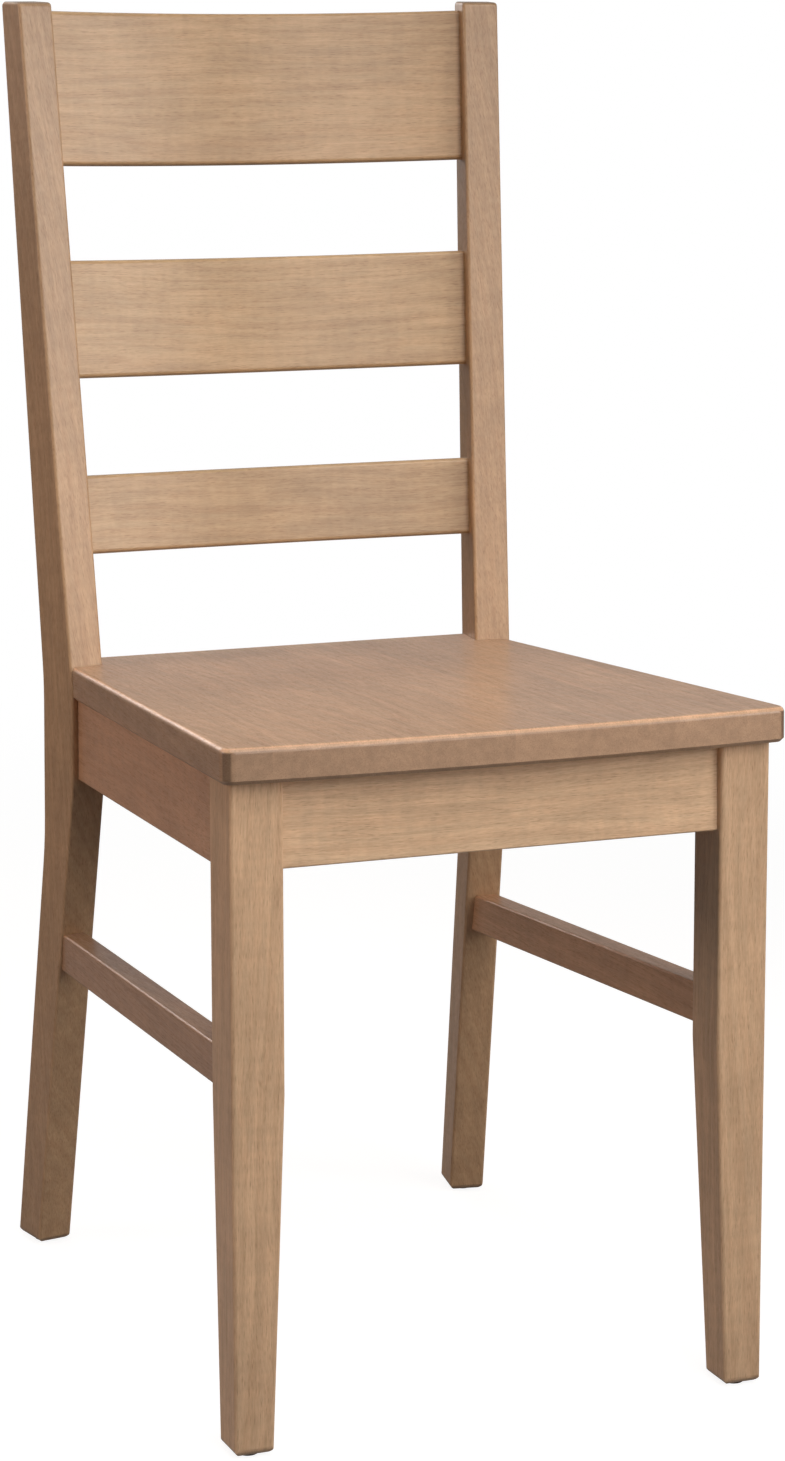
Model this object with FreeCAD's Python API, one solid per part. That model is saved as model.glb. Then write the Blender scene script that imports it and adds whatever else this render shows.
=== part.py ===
# Ladderback dining chair in solid beech: two rear posts sawn to a bend and turned in
# towards the middle, three bent slats mortised between them, a mortised seat frame with
# corner blocks, and a sloping seat glued up from staves and notched around the posts.
#
# Millimetres. X runs to the right as seen from in front of the chair, Y to the back and
# Z up from the floor. "Left" and "right" are also as seen from the front. The pieces are
# drawn with Y = 0 where the front legs' front faces would meet the top of the seat, and
# at the end the whole chair is moved so that its origin is the middle of its footprint.

import FreeCAD, Part
import math
import os

V = FreeCAD.Vector
RIGHT = V(1, 0, 0)
UP = V(0, 0, 1)
FAR = 400.0                      # reach of a cutting block, past anything it has to cut

# Seat
seat_height = 479.0              # top of the seat over the front legs' front faces
seat_slope = 3.1                 # degrees by which seat, rails and stretchers fall back
seat_thickness = 24.0
seat_front_width = 406.0         # at the front corners, before they are rounded
seat_back_width = 341.0          # at the back edge
seat_overhang = 9.9              # of the front corners past the legs' front faces
seat_depth = 437.2               # from the front corners to the back edge
seat_bow = 10.2                  # of the front edge past its corners
seat_corner_radius = 9.0         # of the corners in plan
seat_top_round = 4.0
seat_under_chamfer = 2.5
glue_lines = (-170.0, -121.0, -62.0, -3.5, 55.0, 114.0, 170.0)
notch_gap = 0.3                  # between the seat and the posts it is notched around

# Front legs
leg_spread = 389.0               # between the outer faces
leg_width = 37.0
leg_depth = 39.0
leg_foot_width = 27.6
leg_foot_depth = 29.5
leg_lean = 1.9                   # degrees by which the tops lean to the back
taper_step = 4.0                 # by which the back's taper starts below the side's
leg_arris = 2.5

# Rear posts
frame_depth = 379.9              # from the front legs' faces back to the posts' faces
post_spread = 349.4              # between the outer front arrises, at the rails
post_toe_in = 10.3               # degrees that each post is turned to face the middle
post_thickness = 27.0
post_height = 931.5
post_rake = 8.65                 # degrees of the front face above the rails
post_sweep = 8.9                 # degrees of the front face below the rails
post_depth = 45.0                # at the rails
post_top_depth = 27.5
post_foot_depth = 33.1
post_straight = 6.0              # of straight face kept above and below the rails
post_heel = 47.0                 # of straight back face kept further down
post_front_bend = 80.0           # radius where the front face leaves the rails
post_back_bend = 250.0
post_arris = 2.2
post_top_round = 3.4
foot_round = 6.5                 # of the bottom edges of posts and legs

# Seat rails
rail_height = 60.0
rail_thickness = 20.0
rail_arris = 1.5
front_rail_recess = 5.0          # behind the legs' front faces
side_rail_recess = 2.5           # inside the legs' outer faces
side_rail_inset = 4.7            # inside the posts' outer arrises
rear_rail_recess = 12.3          # behind the posts' inner front arrises

# Side stretchers
stretcher_drop = 203.3           # from the seat's top down to the stretchers' top
stretcher_height = 28.7
stretcher_thickness = 18.2
stretcher_recess = 1.8           # inside the outer faces of leg and post
stretcher_arris = 2.0

# Back slats, each with the drop of its middle below the posts' tops and its height
top_slat = (61.0, 111.2)
middle_slat = (226.3, 85.4)
bottom_slat = (367.1, 57.4)
slat_rake = 8.4                  # degrees
slat_thickness = 11.0
slat_radius = 625.0              # of the hollow front face
slat_setback = 10.5              # behind the posts' front faces
slat_chamfer = 2.4

# Stub tenons, one at each end of every rail, stretcher and slat
tenon_length = 15.0
rail_shoulders = (5.0, 10.0)     # at the sides of a rail's tenon, and above and below
stretcher_shoulders = (4.0, 4.0)
slat_shoulders = (2.0, 7.0)
slat_tenon_root = 4.0            # of a slat's tenon in the slat
glue_gap = 0.1                   # around tenons, screws and the glides' stems
end_gap = 1.0                    # between the end of each of them and its hole

# Corner blocks and their screws
block_near = 32.0                # from the rails' corner to the block's short side
block_far = 64.0                 # and to its long side, along either rail
block_height = 24.0
screw_bite = 14.0                # of a screw in the seat
screw_diameter = 4.0
screw_head_diameter = 8.5
screw_head_height = 2.8

# Glides, each with a stem that is pressed into the foot
glide_diameter = 14.0
glide_height = 2.0
stem_diameter = 6.0
stem_length = 12.0

# Directions and places that follow
toe = math.radians(post_toe_in)
inward = V(math.cos(toe), math.sin(toe), 0)         # across the left post's face
backward = V(-math.sin(toe), math.cos(toe), 0)      # along the left post's side
post_corner = V(-post_spread / 2, frame_depth, 0)   # the left post's outer front arris
leg_outer = leg_spread / 2
slope = math.radians(seat_slope)
lean = math.radians(leg_lean)
under_seat = seat_thickness                         # depths below the seat's top
rail_middle = seat_thickness + rail_height / 2
under_rail = seat_thickness + rail_height


def seat_level(y, below):
    """Level of the plane that lies a depth below the seat's top, at a place Y."""
    return seat_height - y * math.tan(slope) - below / math.cos(slope)


def along_seat(y, below):
    """Distance along the seat of a point at a place Y, a depth below the seat's top."""
    return (y + below * math.sin(slope)) / math.cos(slope)


bend_top = seat_level(frame_depth, under_seat) + post_straight
bend_foot = seat_level(frame_depth, under_rail) - post_straight
taper_start = seat_level(leg_depth, stretcher_drop + stretcher_height)
foot_reach = glide_height - foot_round              # to which a foot is drawn before it is trimmed


def post_front(level):
    """How far back a post's front face lies at a level, from its place at the rails."""
    if level < bend_foot:
        return (bend_foot - level) * math.tan(math.radians(post_sweep))
    return max(level - bend_top, 0) * math.tan(math.radians(post_rake))


def post_point(across, back, level):
    """A point on or beside the left post, from its outer front arris at the rails."""
    return post_corner + inward * across + backward * back + UP * level


def leg_front(level):
    """Place of the front legs' front faces at a level."""
    return (level - seat_height) * math.tan(lean)


# Helpers

def tilted(shape, degrees):
    """Lay back a shape that was drawn with the seat's top level at Z = 0."""
    placed = shape.copy()
    placed.rotate(V(0, 0, 0), RIGHT, -degrees)
    placed.translate(UP * seat_height)
    return placed


def with_seat(shape):
    return tilted(shape, seat_slope)


def mirrored(shape):
    return shape.mirror(V(0, 0, 0), RIGHT)


def both_sides(shape):
    return Part.makeCompound([shape, mirrored(shape)])


def block(x, y, z):
    """A box from its three ranges."""
    return Part.makeBox(x[1] - x[0], y[1] - y[0], z[1] - z[0], V(x[0], y[0], z[0]))


def flat(points):
    """A face bounded by straight lines."""
    return Part.Face(Part.makePolygon(list(points) + [points[0]]))


def rounded(points, radii):
    """A closed wire through points, each corner rounded by its own radius."""
    corners = []
    for number, corner in enumerate(points):
        before = (points[number - 1] - corner).normalize()
        after = (points[(number + 1) % len(points)] - corner).normalize()
        half = before.getAngle(after) / 2
        run = radii[number] / math.tan(half)
        depth = radii[number] / math.sin(half) - radii[number]
        middle = corner + (before + after).normalize() * depth
        corners.append((corner + before * run, middle, corner + after * run))
    edges = []
    for number, (start, middle, end) in enumerate(corners):
        if radii[number] > 0:
            edges.append(Part.Arc(start, middle, end).toShape())
        following = corners[(number + 1) % len(corners)][0]
        edges.append(Part.LineSegment(end, following).toShape())
    return Part.Wire(edges)


def edges_along(shape, direction, spread=0.001):
    """The straight edges of a shape that run along a direction, within a spread."""
    found = []
    for edge in shape.Edges:
        run = edge.lastVertex().Point - edge.firstVertex().Point
        straight = edge.Curve.TypeId == "Part::GeomLine"
        if straight and run.cross(direction).Length < spread * run.Length:
            found.append(edge)
    return found


def one_solid(shape):
    """The single solid that a cut or a joint left, with its split faces joined again."""
    if len(shape.Solids) != 1:
        raise ValueError("expected one solid and found %d" % len(shape.Solids))
    return shape.removeSplitter().Solids[0]


# Cutting blocks that end a rail, stretcher or slat on the wood it meets, or at a depth in it

def leg_back(depth):
    """Everything in front of the left leg's back face."""
    return tilted(block((-FAR, 0), (-FAR, leg_depth - depth), (-FAR, FAR)), leg_lean)


def leg_side(depth):
    """Everything outside the left leg's inner face."""
    return block((-FAR, -leg_outer + leg_width - depth), (-FAR, FAR), (0, seat_height))


def post_face(depth, reach=FAR / 4):
    """Everything behind the left post's front face."""
    levels = (0, bend_foot, bend_top, post_height)
    points = [post_point(-FAR / 4, post_front(level) + depth, level) for level in levels]
    points += [post_point(-FAR / 4, FAR, level) for level in (post_height, 0)]
    return flat(points).extrude(inward * (FAR / 4 + reach))


def post_side(depth):
    """Everything outside the left post's inner face."""
    face = post_thickness - depth
    corners = ((face, -FAR), (face, FAR), (-FAR, FAR), (-FAR, -FAR))
    points = [post_point(across, back, 0) for across, back in corners]
    return flat(points).extrude(UP * (post_height + FAR))


def leg_to_post(depth):
    return [leg_back(depth), post_face(depth)]


def leg_to_leg(depth):
    return [leg_side(depth), mirrored(leg_side(depth))]


def post_to_post(depth):
    return [post_side(depth), mirrored(post_side(depth))]


# Rails and stretchers, drawn in the seat's frame

def bar(place, top, height, thickness, radii, shoulders=(0, 0)):
    """A bar longer than its gap, or with shoulders the bar that its tenons are cut from."""
    start, run, side = place
    width = side * (thickness - 2 * shoulders[0])
    upper = start + side * shoulders[0] - UP * (top + shoulders[1])
    lower = upper - UP * (height - 2 * shoulders[1])
    section = Part.Face(rounded([upper, upper + width, lower + width, lower], radii))
    return with_seat(section.extrude(run))


def tenon_bar(place, top, height, thickness, shoulders, gap):
    """The square bar that tenons are cut from, or with a gap their mortises."""
    inset = (shoulders[0] - gap, shoulders[1] - gap)
    return bar(place, top, height, thickness, (0, 0, 0, 0), inset)


def tenoned(body, tenons, ends):
    """A bar cut off square at both ends, and its tenons in the wood beyond them."""
    return one_solid(body.cut(ends(0)).fuse(tenons.cut(ends(tenon_length))))


def side_place(recess, inset, below):
    """Start, run and side of a left bar's outer face, along leg and post."""
    level = seat_level(frame_depth, below)
    corner = post_point(0, post_front(level), 0)
    leg_end = leg_front(seat_level(leg_depth, below)) + leg_depth
    front = V(-leg_outer + recess, along_seat(leg_end, below), 0)
    rear = V(corner.x + inset, along_seat(corner.y, below), 0)
    run = (rear - front).normalize()
    return (front - run * 2 * leg_depth, run * ((rear - front).Length + 4 * leg_depth),
            V(run.y, -run.x, 0))


def end_place(face):
    """The same for a bar that runs across the chair, along its front face."""
    return V(-leg_outer, face, 0), RIGHT * leg_spread, V(0, 1, 0)


def side_rail_place():
    return side_place(side_rail_recess, side_rail_inset, rail_middle)


def front_rail_place():
    level = seat_level(0, rail_middle)
    return end_place(along_seat(leg_front(level) + front_rail_recess, rail_middle))


def rear_rail_place():
    arris = post_point(post_thickness, 0, 0)
    return end_place(along_seat(arris.y + rear_rail_recess, rail_middle))


def rail(place, ends):
    body = bar(place, under_seat, rail_height, rail_thickness, (0, 0, rail_arris, rail_arris))
    return tenoned(body, rail_tenons(place, 0), ends)


def rail_tenons(place, gap):
    return tenon_bar(place, under_seat, rail_height, rail_thickness, rail_shoulders, gap)


def stretcher_place():
    return side_place(stretcher_recess, stretcher_recess, stretcher_drop + stretcher_height / 2)


def stretcher():
    body = bar(stretcher_place(), stretcher_drop, stretcher_height, stretcher_thickness,
               [stretcher_arris] * 4)
    return tenoned(body, stretcher_tenons(0), leg_to_post)


def stretcher_tenons(gap):
    return tenon_bar(stretcher_place(), stretcher_drop, stretcher_height, stretcher_thickness,
                     stretcher_shoulders, gap)


def mortises(tenons, ends):
    """The holes for tenons that were drawn with a gap, each a little deeper than its tenon."""
    return tenons.cut(ends(tenon_length + end_gap))


# Slats

def bent_board(slat):
    """A slat's bent board in its place, longer than the gap between the posts."""
    drop, height = slat
    level = post_height - drop
    end = post_point(post_thickness, post_front(level) + slat_setback, level)
    half = abs(end.x)
    centre = V(0, -math.sqrt(slat_radius ** 2 - half ** 2), -height / 2)
    reach = math.asin((half + tenon_length) / slat_radius)
    arcs = []
    for radius in (slat_radius, slat_radius + slat_thickness):
        arcs.append([centre + V(math.sin(turn), math.cos(turn), 0) * radius
                     for turn in (-reach, 0, reach)])
    (a, b, c), (d, e, f) = arcs
    outline = Part.Wire([Part.Arc(a, b, c).toShape(), Part.LineSegment(c, f).toShape(),
                         Part.Arc(f, e, d).toShape(), Part.LineSegment(d, a).toShape()])
    board = Part.Face(outline).extrude(UP * height)
    curved = [edge for edge in board.Edges if edge.Curve.TypeId == "Part::GeomCircle"]
    board = board.makeChamfer(slat_chamfer, curved)
    board.rotate(V(0, 0, 0), RIGHT, -slat_rake)
    board.translate(V(0, end.y, level))
    return board


def slat_tenon(slat, gap, length):
    """A slat's left tenon, square to the post's inner face, or its mortise."""
    drop, height = slat
    level = post_height - drop
    rake = math.radians(slat_rake)
    along = backward * math.sin(rake) + UP * math.cos(rake)
    across = backward * math.cos(rake) - UP * math.sin(rake)
    middle = post_point(post_thickness + slat_tenon_root,
                        post_front(level) + slat_setback + slat_thickness / 2, level)
    wide = slat_thickness / 2 - slat_shoulders[0] + gap
    high = height / 2 - slat_shoulders[1] + gap
    corners = [middle + across * (wide * x) + along * (high * y)
               for x, y in ((-1, -1), (1, -1), (1, 1), (-1, 1))]
    return flat(corners).extrude(inward * -(slat_tenon_root + length))


def slat_piece(slat):
    tenon = slat_tenon(slat, 0, tenon_length)
    return one_solid(bent_board(slat).cut(post_to_post(0)).fuse([tenon, mirrored(tenon)]))


# Rear posts and front legs

def foot_trim(sides, slopes, origin, across, along):
    """A tall slab whose lower edges are rounded and whose sides follow a foot's faces."""
    skin = 0.05                  # by which the slab clears the faces that it follows
    tall = FAR / 4
    low = (sides[0] - skin, sides[1] + skin)
    high = (low[0] + slopes[0] * tall, low[1] + slopes[1] * tall)
    start = origin - along * FAR
    points = [start + across * low[0] + UP * glide_height,
              start + across * low[1] + UP * glide_height,
              start + across * high[1] + UP * (glide_height + tall),
              start + across * high[0] + UP * (glide_height + tall)]
    slab = Part.Face(rounded(points, (foot_round, foot_round, 0, 0))).extrude(along * 2 * FAR)
    wide = (-2 * FAR, 2 * FAR)
    return slab.fuse(block(wide, wide, (glide_height + tall, post_height + FAR)))


def left_post():
    """The post: a bent outline of even thickness, with its long edges eased."""
    bend_heel = bend_foot - post_heel
    foot_back = post_front(glide_height) + post_foot_depth
    back_slope = (post_depth - foot_back) / (bend_heel - glide_height)
    outline = [(post_front(foot_reach), foot_reach),
               (0, bend_foot),
               (0, bend_top),
               (post_front(post_height), post_height),
               (post_front(post_height) + post_top_depth, post_height),
               (post_depth, bend_top),
               (post_depth, bend_heel),
               (foot_back + back_slope * (foot_reach - glide_height), foot_reach)]
    radii = (0, post_front_bend, post_front_bend, post_top_round,
             post_top_round, post_back_bend, post_back_bend, 0)
    points = [post_point(0, back, level) for back, level in outline]
    board = Part.Face(rounded(points, radii)).extrude(inward * post_thickness)
    rims = [edge for face in board.Faces if abs(face.normalAt(0, 0).dot(inward)) > 0.999
            for edge in face.Edges if edge.BoundBox.ZMax > 0]
    board = board.makeFillet(post_arris, rims)
    front_slope = -math.tan(math.radians(post_sweep))
    board = board.common(foot_trim((post_front(glide_height), foot_back),
                                   (front_slope, back_slope), post_corner, backward, inward))
    board = board.common(foot_trim((0, post_thickness), (0, 0), post_corner, inward, backward))
    holes = [slat_tenon(slat, glue_gap, tenon_length + end_gap)
             for slat in (top_slat, middle_slat, bottom_slat)]
    holes += [mortises(stretcher_tenons(glue_gap), leg_to_post),
              mortises(rail_tenons(side_rail_place(), glue_gap), leg_to_post),
              mortises(rail_tenons(rear_rail_place(), glue_gap), post_to_post),
              stem(post_foot(), glue_gap)]
    return one_solid(board.cut(holes))


def post_foot():
    """Middle of the left post's foot, on its glide."""
    middle = post_front(glide_height) + post_foot_depth / 2
    return post_point(post_thickness / 2, middle, glide_height)


def left_leg():
    """The leg: square down to the stretcher, then tapered on its two inner faces."""
    left = -leg_outer
    inner = left + leg_width
    back_start = taper_start - taper_step
    side_slope = (leg_width - leg_foot_width) / (taper_start - glide_height)
    back_slope = (leg_depth - leg_foot_depth) / (back_start - glide_height)
    foot_back = leg_front(foot_reach) + leg_depth - back_slope * (back_start - foot_reach)
    leg = flat([V(left, leg_front(foot_reach), foot_reach),
                V(left, leg_front(seat_height), seat_height),
                V(left, leg_front(seat_height) + leg_depth, seat_height),
                V(left, leg_front(back_start) + leg_depth, back_start),
                V(left, foot_back, foot_reach)]).extrude(RIGHT * leg_width)
    foot_side = inner - side_slope * (taper_start - foot_reach)
    wedge = flat([V(inner, -FAR, taper_start), V(inner + leg_width, -FAR, taper_start),
                  V(inner + leg_width, -FAR, foot_reach), V(foot_side, -FAR, foot_reach)])
    leg = leg.cut(wedge.extrude(V(0, 2 * FAR, 0)))
    leg = leg.makeFillet(leg_arris, edges_along(leg, UP, 0.2))
    front = leg_front(glide_height)
    lean_slope = math.tan(lean)
    leg = leg.common(foot_trim((front, front + leg_foot_depth),
                               (lean_slope, lean_slope + back_slope),
                               V(0, 0, 0), V(0, 1, 0), RIGHT))
    leg = leg.common(foot_trim((left, left + leg_foot_width), (0, side_slope),
                               V(0, 0, 0), RIGHT, V(0, 1, 0)))
    holes = [with_seat(block((-FAR, FAR), (-FAR, FAR), (-seat_thickness, FAR))),
             mortises(stretcher_tenons(glue_gap), leg_to_post),
             mortises(rail_tenons(side_rail_place(), glue_gap), leg_to_post),
             mortises(rail_tenons(front_rail_place(), glue_gap), leg_to_leg),
             stem(leg_foot(), glue_gap)]
    return one_solid(leg.cut(holes))


def leg_foot():
    """Middle of the left leg's foot, on its glide."""
    return V(-leg_outer + leg_foot_width / 2, leg_front(glide_height) + leg_foot_depth / 2,
             glide_height)


# Glides

def stem(foot, gap=0.0):
    """A glide's stem in the foot, or with a gap its hole."""
    length = stem_length + (end_gap if gap else 0)
    return Part.makeCylinder(stem_diameter / 2 + gap, length, foot)


def glide(foot):
    disc = Part.makeCylinder(glide_diameter / 2, glide_height, foot - UP * glide_height)
    return one_solid(disc.fuse(stem(foot)))


# Corner blocks and screws, at the left

def rails_corner(rear):
    """Where the inner faces of two rails would meet, and the way along the side rail."""
    start, run, side = side_rail_place()
    run.normalize()
    inner = start + side * rail_thickness
    face = rear_rail_place()[0].y if rear else front_rail_place()[0].y + rail_thickness
    return inner + run * ((face - inner.y) / run.y), (run * -1 if rear else run)


def left_block(rear):
    """A block across the corner, fitted to both rails and screwed up into the seat."""
    corner, run = rails_corner(rear)
    points = [corner + run * block_near, corner + run * block_far,
              corner + RIGHT * block_far, corner + RIGHT * block_near]
    outline = flat([point - UP * (under_seat + block_height) for point in points])
    return one_solid(with_seat(outline.extrude(UP * block_height)).cut(screw(rear, glue_gap)))


def screw(rear, gap=0.0):
    """The screw up through the middle of a corner block, or with a gap its hole."""
    corner, run = rails_corner(rear)
    place = corner + (run + RIGHT) * ((block_near + block_far) / 4)
    place -= UP * (under_seat + block_height)
    length = block_height + screw_bite
    if gap:
        return with_seat(Part.makeCylinder(screw_diameter / 2 + gap, length + end_gap, place))
    shank = Part.makeCylinder(screw_diameter / 2, length, place)
    head = Part.makeCylinder(screw_head_diameter / 2, screw_head_height,
                             place - UP * screw_head_height)
    return with_seat(one_solid(shank.fuse(head)))


# Seat

def seat_board():
    """The glued-up seat before it is divided into its staves."""
    front = -seat_overhang
    back = front + seat_depth
    left_front = V(-seat_front_width / 2, front, 0)
    right_front = V(seat_front_width / 2, front, 0)
    right_back = V(seat_back_width / 2, back, 0)
    left_back = V(-seat_back_width / 2, back, 0)
    bow = Part.Arc(left_front, V(0, front - seat_bow, 0), right_front).toShape()
    sides = Part.makePolygon([right_front, right_back, left_back, left_front])
    board = Part.Face(Part.Wire([bow] + sides.Edges)).extrude(UP * -seat_thickness)
    board = board.makeFillet(seat_corner_radius, edges_along(board, UP))
    top = [edge for edge in board.Edges if edge.BoundBox.ZMin > -seat_thickness / 2]
    board = board.makeFillet(seat_top_round, top)
    under = [edge for edge in board.Edges if edge.BoundBox.ZMax < -seat_thickness / 2]
    board = with_seat(board.makeChamfer(seat_under_chamfer, under))
    notch = post_face(-notch_gap, post_thickness + notch_gap)
    holes = [screw(rear, glue_gap) for rear in (False, True)]
    return one_solid(board.cut([notch, mirrored(notch)] + holes
                               + [mirrored(hole) for hole in holes]))


def staves():
    board = seat_board()
    lines = (-FAR,) + glue_lines + (FAR,)
    return [one_solid(board.common(block(pair, (-FAR, 2 * FAR), (0, post_height))))
            for pair in zip(lines, lines[1:])]


# The whole chair

post = left_post()
leg = left_leg()
side_rail = rail(side_rail_place(), leg_to_post)
side_stretcher = stretcher()
front_block = left_block(False)
rear_block = left_block(True)
front_glide = glide(leg_foot())
rear_glide = glide(post_foot())

pieces = {
    "rear_post_left": post,
    "rear_post_right": mirrored(post),
    "front_leg_left": leg,
    "front_leg_right": mirrored(leg),
    "front_rail": rail(front_rail_place(), leg_to_leg),
    "rear_rail": rail(rear_rail_place(), post_to_post),
    "side_rail_left": side_rail,
    "side_rail_right": mirrored(side_rail),
    "side_stretcher_left": side_stretcher,
    "side_stretcher_right": mirrored(side_stretcher),
    "top_slat": slat_piece(top_slat),
    "middle_slat": slat_piece(middle_slat),
    "bottom_slat": slat_piece(bottom_slat),
    "corner_block_front_left": front_block,
    "corner_block_front_right": mirrored(front_block),
    "corner_block_rear_left": rear_block,
    "corner_block_rear_right": mirrored(rear_block),
    "seat_screws": both_sides(Part.makeCompound([screw(False), screw(True)])),
    "foot_glide_front_left": front_glide,
    "foot_glide_front_right": mirrored(front_glide),
    "foot_glide_rear_left": rear_glide,
    "foot_glide_rear_right": mirrored(rear_glide),
}
for number, stave in enumerate(staves(), 1):
    pieces["seat_stave_%d" % number] = stave

# The origin goes to the middle of the footprint: the seat's bowed front edge is the
# foremost place of the chair and the middle of the top slat is the hindmost.
footprint = Part.makeCompound(list(pieces.values())).optimalBoundingBox(False, False)
shift = V(0, -(footprint.YMin + footprint.YMax) / 2, 0)

os.makedirs("parts", exist_ok=True)
for name, shape in pieces.items():
    placed = shape.copy()
    placed.translate(shift)
    placed = Part.makeCompound(placed.Solids) if len(placed.Solids) > 1 else placed.Solids[0]
    if not placed.isValid():
        raise ValueError(name + " is not a valid solid")
    placed.exportStep("parts/%s.step" % name)
print("moved by %.2f mm along Y; %.1f x %.1f x %.1f mm over all"
      % (shift.y, footprint.XLength, footprint.YLength, footprint.ZLength))
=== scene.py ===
"""Finishes a ladderback dining chair in lacquered beech and sets it in a plain studio.

The solid model gives every piece its place and shape. Here the wood gets its grain, the three
back slats are bent again from thin boards with softly rounded edges, and the studio gets its
floor, its lamps and its camera. Lengths are in metres. X runs to the right as seen from in
front of the chair, Y to the back and Z up from the floor.
"""

import math

import bpy
from bpy.props import FloatProperty, FloatVectorProperty, PointerProperty
from bpy.types import Operator, Panel, PropertyGroup
from mathutils import Matrix, Vector


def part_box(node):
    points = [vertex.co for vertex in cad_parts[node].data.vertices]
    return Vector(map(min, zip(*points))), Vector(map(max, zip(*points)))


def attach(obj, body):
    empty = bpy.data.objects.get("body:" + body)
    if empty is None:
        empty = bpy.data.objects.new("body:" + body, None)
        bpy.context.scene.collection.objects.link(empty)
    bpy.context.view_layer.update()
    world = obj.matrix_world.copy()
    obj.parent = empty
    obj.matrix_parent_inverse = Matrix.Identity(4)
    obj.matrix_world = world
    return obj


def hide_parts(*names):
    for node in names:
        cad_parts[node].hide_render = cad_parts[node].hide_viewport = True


bl_info = {
    "name": "Ladderback dining chair",
    "version": (1, 0, 0),
    "blender": (4, 5, 0),
    "location": "3D View > Sidebar > Chair",
    "description": "Finishes a beech ladderback chair and sets it in a plain studio",
    "category": "Object",
}

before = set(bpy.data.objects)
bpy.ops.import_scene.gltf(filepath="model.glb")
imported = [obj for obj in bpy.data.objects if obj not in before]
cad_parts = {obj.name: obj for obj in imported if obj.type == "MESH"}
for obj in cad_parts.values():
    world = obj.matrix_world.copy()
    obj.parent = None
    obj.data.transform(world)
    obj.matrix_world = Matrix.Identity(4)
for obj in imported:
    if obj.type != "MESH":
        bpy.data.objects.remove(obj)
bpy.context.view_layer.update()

POSTS = ("rear_post_left", "rear_post_right")
LEGS = ("front_leg_left", "front_leg_right")
RAILS = ("front_rail", "rear_rail", "side_rail_left", "side_rail_right")
STRETCHERS = ("side_stretcher_left", "side_stretcher_right")
SLATS = ("top_slat", "middle_slat", "bottom_slat")
STAVES = tuple("seat_stave_%d" % number for number in range(1, 9))
BLOCKS = ("corner_block_front_left", "corner_block_front_right",
          "corner_block_rear_left", "corner_block_rear_right")
GLIDES = ("foot_glide_front_left", "foot_glide_front_right",
          "foot_glide_rear_left", "foot_glide_rear_right")
WOODEN = POSTS + LEGS + RAILS + STRETCHERS + STAVES + BLOCKS + SLATS

MM = 0.001

# Turns that stand the grain upright, named by the way it runs in a piece
UPRIGHT = (0.0, 0.0, 0.0)
ACROSS = (0.0, math.radians(-90), 0.0)
FORE_AND_AFT = (math.radians(90), 0.0, 0.0)
GRAIN_AXES = {UPRIGHT: (0, 0, 1), ACROSS: (1, 0, 0), FORE_AND_AFT: (0, 1, 0)}

# From one wooden piece to the next, the wood is taken this far on in the trunk
TRUNK_STEP = (0.37, 0.23, 1.7)

# Red, green and blue of each piece's wood, as shares of the colours in the settings. They hold
# painted light and shade as well as the wood's own tone, set piece by piece for the light each
# gets: the left stretcher is painted darker than the right, and the slats darker from top to
# bottom
TONES_AND_PAINTED_LIGHT = {
    "rear_post": (0.88, 0.84, 0.81),
    "front_leg": (1.20, 1.20, 1.25),
    "front_rail": (1.28, 1.32, 1.40),
    "rear_rail": (1.28, 1.32, 1.40),
    "side_rail": (1.05, 0.90, 0.90),
    "side_stretcher_left": (0.78, 0.68, 0.68),
    "side_stretcher_right": (1.15, 1.03, 1.03),
    "seat_stave": (1.15, 1.08, 1.13),
    "corner_block": (1.08, 1.10, 1.12),
    "top_slat": (1.02, 1.00, 0.93),
    "middle_slat": (0.95, 0.95, 0.89),
    "bottom_slat": (0.88, 0.89, 0.86),
}
STAVE_SHADES = (1.0, 0.97, 1.03, 0.98, 1.02, 0.96, 1.01, 0.99)

# Painted light and shade on the rounded edges below, at the sides and above, as shares of the
# faces' tone: painted shade on edges that look down, and a painted highlight on those that look
# up and sideways. On the seat, the rounded corners get painted shade and the top edges a strong
# painted highlight
ARRIS_LIGHT_AND_SHADE = (0.80, 1.08, 1.16)
SEAT_ARRIS_LIGHT_AND_SHADE = (0.75, 0.52, 1.45)
# Painted shade on the seat's faces that look to the left and right, as a share of their tone
SEAT_PAINTED_SIDE_SHADE = 0.72

ZINC = (0.62, 0.60, 0.52)
DARK_PLASTIC = (0.045, 0.035, 0.03)

# Most values of a noise lie in the first range, and nearly all in the second
MOST = (0.35, 0.65)
NEARLY_ALL = (0.3, 0.7)

BEND_POINTS = 72  # along a slat
EDGE_POINTS = 8   # round each of its long edges

WARM = (1.0, 0.95, 0.91)

# Place, point aimed at, width and height, spread in degrees and colour of each lamp
LAMPS = {
    "high": ((0.31, -1.74, 2.27), (0.0, 0.0, 0.84), (1.2, 1.2), 60, WARM),
    "low": ((0.42, -2.38, 1.15), (0.0, 0.0, 0.50), (1.2, 1.2), 50, WARM),
    "right": ((1.71, -1.71, 1.15), (0.0, 0.0, 0.45), (1.2, 1.2), 50, WARM),
    "seat": ((-0.25, -0.65, 1.75), (-0.08, -0.22, 0.47), (0.9, 0.9), 44, (0.97, 1.0, 1.0)),
    "left": ((-2.36, 0.41, 1.30), (0.0, 0.0, 0.55), (1.2, 1.2), 90, (1.0, 0.80, 0.70)),
    "back": ((-0.4, 2.45, 1.40), (0.0, 0.1, 0.55), (1.2, 1.2), 80, WARM),
    "rim": ((-0.1, 1.0, 2.3), (0.0, 0.0, 0.5), (1.8, 0.12), 180, (1.0, 1.0, 1.0)),
}
FLOOR_REACH = 12.0
SENSOR_WIDTH = 36.0


# Sizes and colours

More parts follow.
